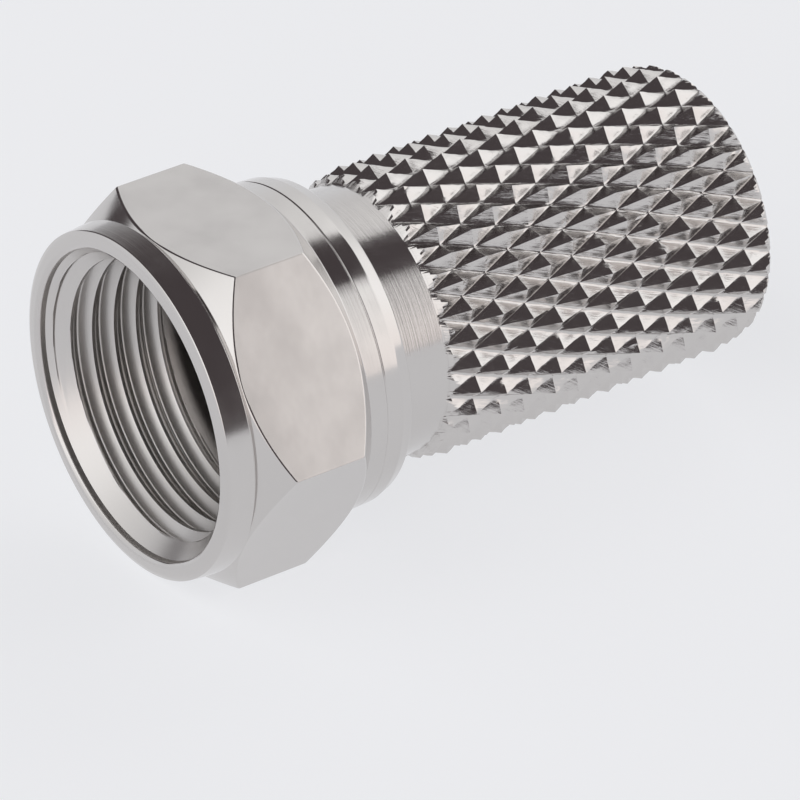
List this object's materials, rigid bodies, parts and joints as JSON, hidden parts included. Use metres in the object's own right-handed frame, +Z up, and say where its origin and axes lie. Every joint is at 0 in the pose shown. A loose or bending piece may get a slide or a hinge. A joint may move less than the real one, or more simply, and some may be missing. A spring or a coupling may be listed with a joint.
{
  "type": "f connector",
  "caption": "Twist-on coaxial plug: a hexagonal coupling nut that spins on a knurled sleeve, which screws onto a cable's jacket.",
  "frame": {"origin": "on the connector's axis at the mating plane, which is the front face of the body's flange inside the nut", "axes": "+X along the axis, out of the rear end where the cable leaves; +Z up, square to the flat of the hexagon that is on top, so the part lies on the opposite flat; +Y to complete a right-handed frame"},
  "size_m": [0.0209, 0.0128, 0.0112],
  "materials": {
    "nut_nickel": "turned brass with bright nickel plate",
    "body_nickel": "turned and knurled brass with bright nickel plate"
  },
  "bodies": {
    "body": {"knurled_body": "body_nickel"},
    "nut": {"coupling_nut": "nut_nickel"}
  },
  "joints": [
    {"name": "nut_spin", "type": "hinge", "parent": "body", "child": "nut", "pos_m": [0.0015, 0, 0], "axis": [1, 0, 0], "continuous": true}
  ]
}
